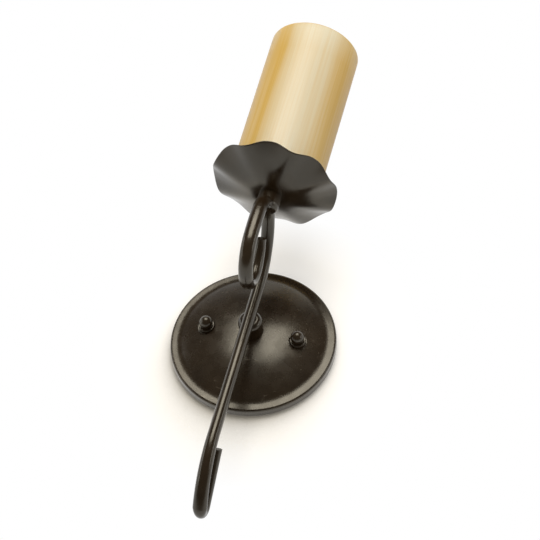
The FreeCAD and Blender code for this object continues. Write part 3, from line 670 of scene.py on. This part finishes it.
# %% [markdown]
# ## The backplate
#
# The plate is one disc of 1 mm steel drawn over a die. A die can't press a dead sharp corner, so the
# flat ring leans back a few degrees towards its edge and flows softly into the dome. The packed
# plate has the dome, the seats of the nuts and the holes already. A copy of it gets rings of new
# points where the sheet turns. Each point then moves by an amount that depends on its radius, less
# and less down the side wall, so that the wall's foot stays where it is.

# %% Backplate
plate_edge = 63.5 * MM
plate_foot = 56.5 * MM                         # where the dome meets the ring
plate_soft_from = 45 * MM                      # the dome is as packed inside this radius
plate_side_top = 5 * MM                        # where the side wall rounds over into the ring
ring_pivot = 61.5 * MM                         # the leaning ring keeps its height here
ring_lean = 0.06                               # drop of the ring for each step outwards
foot_soft = 2.1 * MM                           # to each side of the foot, where the turn is spread
foot_turn = 0.45                               # change of slope there
weld_gap = 0.001 * MM                          # points this close are one
added_inside = 4.5 * MM                        # new rings lie between this much inside the foot
added_edge = 1.4 * MM                          # and this much inside the edge
added_run = 2 * MM                             # on mesh edges that run outwards more than this
added_rings = 6
plate_crisp = 11                               # degrees, so that the nuts' shallow seats stay crisp


def pressed_out(radius, out):
    """How far the press moves a point of the plate out of the wall."""
    if radius < plate_soft_from:
        return 0
    lean = ring_lean * (ring_pivot - max(radius, plate_foot))
    if radius < plate_foot:
        lean *= (radius - plate_soft_from) / (plate_foot - plate_soft_from)
    near = max(0, foot_soft - abs(radius - plate_foot))
    parabola = foot_turn * near ** 2 / (4 * foot_soft)
    return lean * min(1, out / plate_side_top) + parabola


def pressed_plate():
    """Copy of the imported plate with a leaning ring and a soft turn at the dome's foot."""
    bm = bmesh.new()
    bm.from_mesh(frame["nodes"]["backplate"].data)
    bmesh.ops.remove_doubles(bm, verts=bm.verts, dist=weld_gap)
    low, high = plate_foot - added_inside, plate_edge - added_edge

    def reach(vertex):
        return math.hypot(vertex.co.x, vertex.co.z)

    across = [e for e in bm.edges if all(low < reach(v) < high for v in e.verts)
              and abs(reach(e.verts[0]) - reach(e.verts[1])) > added_run]
    bmesh.ops.subdivide_edges(bm, edges=across, cuts=added_rings, use_grid_fill=True)
    for vertex in bm.verts:
        vertex.co.y -= pressed_out(reach(vertex), -vertex.co.y)
    print("rings added across", len(across), "edges")
    return smooth_object(bm, "pressed_backplate")


dress(pressed_plate(), "fixture", plate_paint, "bronze_paint", "backplate", crisp=plate_crisp)

# %% [markdown]
# ## The fluted saucer
#
# The saucer is a disc of 1 mm steel pressed between fluted dies. Its middle stays flat to be
# clamped, and eight broad lobes rise from there to a wavy edge. Where two lobes meet, the steel
# folds into a rib that points down. The folds are faint near the middle and deepen towards the
# edge. A cosine gives the lobes, and raising it to a power that grows from one makes the ribs
# narrower towards the edge. No two lobes of a real one are quite alike, so a smooth noise lifts
# and lowers them by a fraction of a millimetre.

# %% Saucer
saucer_radius = 48.28 * MM
saucer_flat = 10.5 * MM
saucer_hole = 5.2 * MM
saucer_sheet = 1.0 * MM
saucer_round = 0.45 * MM                       # of the edge's two corners
saucer_rise = 12.5 * MM
saucer_wave = 2.1 * MM
saucer_power = 1.5                             # more keeps the rise nearer to the edge
saucer_fade = 2.1                              # more keeps the flutes nearer to the edge
saucer_lobes = 8
rib_narrow = 0.25                              # how much narrower the ribs get towards the edge
saucer_uneven = 0.25 * MM
uneven_round, uneven_out = 2, 30               # how fast the noise changes round and outwards
saucer_low = node_span("fluted_dish")[0]
lip_crisp = 60                                 # degrees, for pieces with rounded lips


def noise_round(angle, away, along):
    """Smooth noise on a circle, so that it closes. Farther away from the axis it has more waves."""
    return noise.noise(Vector((away * math.cos(angle), away * math.sin(angle), along)))


def saucer_share(radius):
    """How far a radius is from the flat middle to the edge, from 0 to 1."""
    return max(0.0, (radius - saucer_flat) / (saucer_radius - saucer_flat))


def saucer_shape(angle, radius, height):
    """Rise and flutes of the saucer at a point."""
    share = saucer_share(radius)
    valley = (1 - math.cos(saucer_lobes * angle)) / 2
    lobe = 1 - 2 * valley ** (1 + rib_narrow * share)
    uneven = noise_round(angle, uneven_round, uneven_out * radius) * saucer_uneven
    lift = share ** saucer_power * saucer_rise + share ** saucer_fade * saucer_wave * lobe + share * uneven
    return 0, lift


saucer_top = saucer_low + saucer_sheet
saucer_corners = [(saucer_hole, saucer_low), (saucer_radius, saucer_low, saucer_round),
                  (saucer_radius, saucer_top, saucer_round), (saucer_hole, saucer_top)]
saucer = turned("fluted_saucer", saucer_corners, step=1.2 * MM, segments=256, closed=True,
                shape=saucer_shape)
dress(saucer, "fixture", arm_paint, "bronze_paint", "fluted_dish", crisp=lip_crisp)

# %% [markdown]
# ## The glass cylinder
#
# The cylinder is blown in a mould, cut to length and fire-polished, so its lip is round and its
# wall waves by a tenth of a millimetre or two. It has a floor with a hole for the lampholder.

# %% Glass
glass_low, glass_top = node_span("glass_shade")
glass_radius = 34.8 * MM
glass_wall = 3.0 * MM
glass_floor = 4.0 * MM
glass_hole = 15.0 * MM
glass_lip = 1.4 * MM
glass_foot = 3.5 * MM
wave_round, wave_up = 1.5, 12                  # how fast the wave changes round and upwards
wave_size = 0.2 * MM
wave_inwards = 0.5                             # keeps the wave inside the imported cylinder


def blown_wave(angle, radius, height):
    """Slow wave of the glass wall, the same inside and out."""
    return (noise_round(angle, wave_round, wave_up * height) - wave_inwards) * wave_size, 0


glass_inner = glass_radius - glass_wall
glass_corners = [(glass_hole, glass_low), (glass_radius, glass_low, glass_foot),
                 (glass_radius, glass_top, glass_lip), (glass_inner, glass_top, glass_lip),
                 (glass_inner, glass_low + glass_floor, glass_foot / 2),
                 (glass_hole, glass_low + glass_floor)]
cylinder = turned("amber_cylinder", glass_corners, step=4 * MM, segments=160, closed=True,
                  shape=blown_wave)
dress(cylinder, "shade", amber, "amber_glass", "glass_shade", crisp=lip_crisp)

# %% [markdown]
# ## Threads
#
# A thread is a groove that climbs one pitch each turn, so its depth at a point depends on the
# height and the angle together. The studs are a 4 mm machine thread with a pitch of 0.8 mm, the two
# lamp pipes have a pitch of 0.94 mm, and the lamp's cap and its shell have a round thread with a
# pitch of 2.5 mm. The groove fades out at the ends, as the die leaves it.

# %% Shape of a thread
def thread(pitch, depth, low, high, outer):
    """Shaping function that cuts a thread into the wall at the outer radius."""
    def cut(angle, radius, height):
        if abs(radius - outer) > depth / 2 or not low < height < high:
            return 0, 0
        fade = min(1, (height - low) / pitch, (high - height) / pitch)
        groove = (1 + math.cos(TAU * (height / pitch) - angle)) / 2
        return -depth * fade * groove, 0
    return cut


# %% [markdown]
# Each lamp pipe is a hollow brass tube, threaded from end to end. One ties the hub to the fixture
# strap and points out of the wall, the other stands under the lampholder. Both carry the lead.

# %% Threaded pipes
thread_step = 0.12 * MM                        # height of the faces that draw a fine thread
thread_crisp = 50                              # degrees
pipe_outer, pipe_bore = 4.8 * MM, 3.3 * MM
pipe_pitch, pipe_groove = 0.94 * MM, 0.45 * MM
pipe_round = 0.3 * MM


def threaded_pipe(name, node, base, outwards):
    """Brass pipe with a thread from end to end, in place of a plain node."""
    low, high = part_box(node)
    start, end = (-high[1], -low[1]) if outwards else (low[2], high[2])
    corners = [(pipe_bore, start), (pipe_outer, start, pipe_round),
               (pipe_outer, end, pipe_round), (pipe_bore, end)]
    cut = thread(pipe_pitch, pipe_groove, start, end, pipe_outer)
    piece = turned(name, corners, thread_step, segments=48, closed=True, shape=cut, place=base,
                   outwards=outwards)
    dress(piece, "fixture", brass, "plain_brass", node, crisp=thread_crisp)


threaded_pipe("threaded_hub_pipe", "hub_pipe", base=Vector(), outwards=True)
threaded_pipe("threaded_upper_pipe", "upper_pipe", base=shade_axis, outwards=False)

# %% [markdown]
# The two studs stand out of the fixture strap through the plate, and the ball nuts screw onto them.
# The record has both as one node, so the places are read from the two sides of that node's box.

# %% Studs
stud_radius = 2.0 * MM
stud_pitch, stud_groove = 0.8 * MM, 0.4 * MM
stud_back_round, stud_front_round = 0.2 * MM, 0.5 * MM

stud_low, stud_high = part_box("mounting_studs")
stud_back, stud_front = -stud_high[1], -stud_low[1]
stud_places = [Vector((x, 0, 0)) for x in (stud_low[0] + stud_radius, stud_high[0] - stud_radius)]
for side, base in zip(("left", "right"), stud_places):
    corners = [(0, stud_back), (stud_radius, stud_back, stud_back_round),
               (stud_radius, stud_front, stud_front_round), (0, stud_front)]
    cut = thread(stud_pitch, stud_groove, stud_back, stud_front, stud_radius)
    stud = turned(f"stud_{side}", corners, thread_step, segments=32, shape=cut, place=base,
                  outwards=True)
    dress(stud, "fixture", zinc, "zinc_steel", "mounting_studs", crisp=thread_crisp)

# %% [markdown]
# ## The lamp's cap and its shell
#
# The lamp is a tubular candelabra lamp. Its brass cap is rolled with a round thread below a plain
# skirt, and lifts out with the lamp, so it rides on the lamp's own body. The shell that holds it is
# a tube of thin brass sheet, rolled with a thread of the same pitch, and stays in the lampholder.

# %% Cap and shell
round_pitch = 2.5 * MM
cap_low, cap_top = node_span("lamp_cap")
cap_radius = 5.9 * MM
cap_sheet = 0.5 * MM
cap_skirt = 4.0 * MM
cap_round = 0.6 * MM
cap_groove = 0.45 * MM
cap_plain = 0.8 * MM                           # below the thread
shell_low, shell_top = node_span("screw_shell")
shell_outer, shell_inner = 6.75 * MM, 6.35 * MM
shell_round = 0.15 * MM
shell_groove = 0.18 * MM
shell_plain = 2 * MM                           # above the thread, which fades over as much again

cap_inner, cap_floor = cap_radius - cap_sheet, cap_top - cap_skirt / 2
cap_corners = [(0, cap_low), (cap_radius, cap_low, cap_round), (cap_radius, cap_top),
               (cap_inner, cap_top), (cap_inner, cap_floor), (0, cap_floor)]
cap_thread = thread(round_pitch, cap_groove, cap_low + cap_plain, cap_top - cap_skirt, cap_radius)
cap = turned("threaded_lamp_cap", cap_corners, step=0.3 * MM, segments=64, shape=cap_thread)
dress(cap, "bulb", brass, "plain_brass", "lamp_cap", crisp=thread_crisp)


def rolled(angle, radius, height):
    """Rolled thread of the shell: both faces of the sheet move inwards together."""
    fade = min(1, max(0, (shell_top - shell_plain - height) / shell_plain))
    groove = (1 + math.cos(TAU * (height / round_pitch) - angle)) / 2
    return -shell_groove * fade * groove, 0


shell_corners = [(shell_inner, shell_low), (shell_outer, shell_low),
                 (shell_outer, shell_top, shell_round), (shell_inner, shell_top, shell_round)]
shell = turned("rolled_screw_shell", shell_corners, step=0.4 * MM, segments=64, closed=True,
               shape=rolled)
dress(shell, "fixture", brass, "plain_brass", "screw_shell", crisp=thread_crisp)

# %% [markdown]
# ## The lamp's stem and wires
#
# Inside the clear tube a glass stem holds two bent wires, and a zigzag of tungsten hangs between
# them. A wire is a curve with a round section, which follows its bends with few points.

# %% Stem, support wires and filament
stem_low, wire_top = node_span("lamp_filament")
stem_radius, stem_tip = 2.4 * MM, 1.3 * MM
stem_rise = 24 * MM                            # above the cap
stem_top = cap_top + stem_rise
stem_taper = 6 * MM                            # length of the pinched end
stem_shoulder, stem_round = 1 * MM, 1.2 * MM   # roundings below and above the taper
post_wire, filament_wire = 0.3 * MM, 0.12 * MM
post_root, post_spread = 0.8 * MM, 4.0 * MM    # from the axis, in the stem and above it
post_sunk, post_bend = 4 * MM, 3 * MM          # below and above the stem's top
post_drop = 0.4 * MM                           # of the posts' ends below the wires' full height
folds = 8
fold_drop, fold_rise = 0.8 * MM, 6 * MM        # below that height, and above the stem's top


def wire(name, paths, radius):
    """Round tungsten wire along paths of straight runs."""
    curve = bpy.data.curves.new(name, "CURVE")
    curve.dimensions = "3D"
    curve.bevel_depth = radius
    curve.bevel_resolution = 3
    curve.use_fill_caps = True
    for points in paths:
        spline = curve.splines.new("POLY")
        spline.points.add(len(points) - 1)
        for point, place in zip(spline.points, points):
            point.co = (*(shade_axis + Vector(place)), 1)
    piece = bpy.data.objects.new(name, curve)
    bpy.context.collection.objects.link(piece)
    dress(piece, "bulb", tungsten, "clear_glass")


stem_corners = [(0, stem_low), (stem_radius, stem_low),
                (stem_radius, stem_top - stem_taper, stem_shoulder),
                (stem_tip, stem_top, stem_round), (0, stem_top)]
stem = turned("glass_stem", stem_corners, step=2 * MM, segments=32)
dress(stem, "bulb", bulb_glass, "clear_glass", "lamp_filament", crisp=lip_crisp)
posts = [[(side * post_root, 0, stem_top - post_sunk), (side * post_spread, 0, stem_top + post_bend),
          (side * post_spread, 0, wire_top - post_drop)] for side in (-1, 1)]
wire("support_wires", posts, post_wire)
zigzag = []
for i in range(folds + 1):
    angle = math.pi * i / folds
    height = wire_top - fold_drop if i % 2 == 0 else stem_top + fold_rise
    zigzag.append((-post_spread * math.cos(angle), post_spread * math.sin(angle), height))
wire("tungsten_zigzag", [zigzag], filament_wire)
